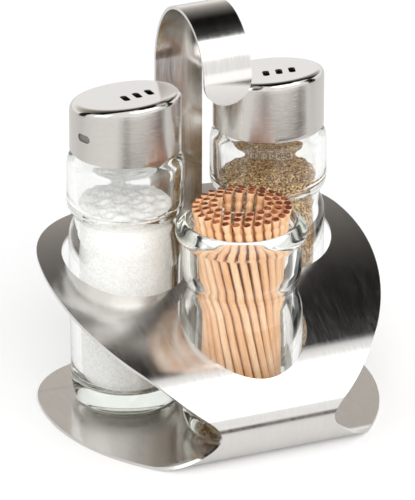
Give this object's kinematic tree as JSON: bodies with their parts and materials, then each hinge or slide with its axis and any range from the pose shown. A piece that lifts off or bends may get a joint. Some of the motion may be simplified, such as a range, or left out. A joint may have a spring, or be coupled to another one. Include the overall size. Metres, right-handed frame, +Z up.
{
  "type": "salt pepper and toothpick set in a bent steel stand",
  "caption": "Glass salt and pepper shakers with slanted steel caps and an open glass toothpick jar, held by a stand bent from one steel sheet with a hook handle.",
  "frame": {"origin": "on the underside of the base, midway between the two shaker axes", "axes": "+Z up along the shakers, -Y towards the toothpick jar and the front bend, +X towards the pepper shaker"},
  "size_m": [0.1006, 0.0907, 0.1245],
  "materials": {
    "steel_sheet": "fine lengthwise brush lines, satin",
    "cap_steel": "fine brush lines round the cap, satin",
    "glass": "clear pressed soda glass, polished",
    "insert_plastic": "fine moulded grain",
    "salt": null,
    "pepper": null,
    "toothpick_wood": "plain turned birch, darker at the ends"
  },
  "bodies": {
    "stand": {"stand_sheet": "steel_sheet"},
    "salt_shaker": {"salt_jar": "glass", "salt_fill": "salt"},
    "salt_stopper": {"salt_insert": "insert_plastic", "salt_sieve": "insert_plastic"},
    "salt_lid": {"salt_cap": "cap_steel"},
    "pepper_shaker": {"pepper_jar": "glass", "pepper_fill": "pepper"},
    "pepper_stopper": {"pepper_insert": "insert_plastic", "pepper_sieve": "insert_plastic"},
    "pepper_lid": {"pepper_cap": "cap_steel"},
    "toothpick_holder": {"toothpick_jar": "glass", "toothpicks": "toothpick_wood"},
    "free_toothpick": {"loose_toothpick": "toothpick_wood"}
  },
  "joints": [
    {"name": "salt_shaker_lift", "type": "slide", "parent": "stand", "child": "salt_shaker", "axis": [-0.0599, 0, 0.9982], "range_m": [0, 0.06]},
    {"name": "salt_stopper_pull", "type": "slide", "parent": "salt_shaker", "child": "salt_stopper", "axis": [0, 0, 1], "range_m": [0, 0.014]},
    {"name": "salt_cap_turn", "type": "hinge", "parent": "salt_stopper", "child": "salt_lid", "pos_m": [-0.023, 0, 0.0816], "axis": [0, 0, 1], "range_deg": [0, 90]},
    {"name": "pepper_shaker_lift", "type": "slide", "parent": "stand", "child": "pepper_shaker", "axis": [0.0599, 0, 0.9982], "range_m": [0, 0.06]},
    {"name": "pepper_stopper_pull", "type": "slide", "parent": "pepper_shaker", "child": "pepper_stopper", "axis": [0, 0, 1], "range_m": [0, 0.014]},
    {"name": "pepper_cap_turn", "type": "hinge", "parent": "pepper_stopper", "child": "pepper_lid", "pos_m": [0.023, 0, 0.0816], "axis": [0, 0, 1], "range_deg": [0, 90]},
    {"name": "toothpick_jar_lift", "type": "slide", "parent": "stand", "child": "toothpick_holder", "axis": [0, 0, 1], "range_m": [0, 0.024]},
    {"name": "toothpick_draw", "type": "slide", "parent": "toothpick_holder", "child": "free_toothpick", "axis": [-0.1926, -0.0254, 0.981], "range_m": [0, 0.068]}
  ]
}
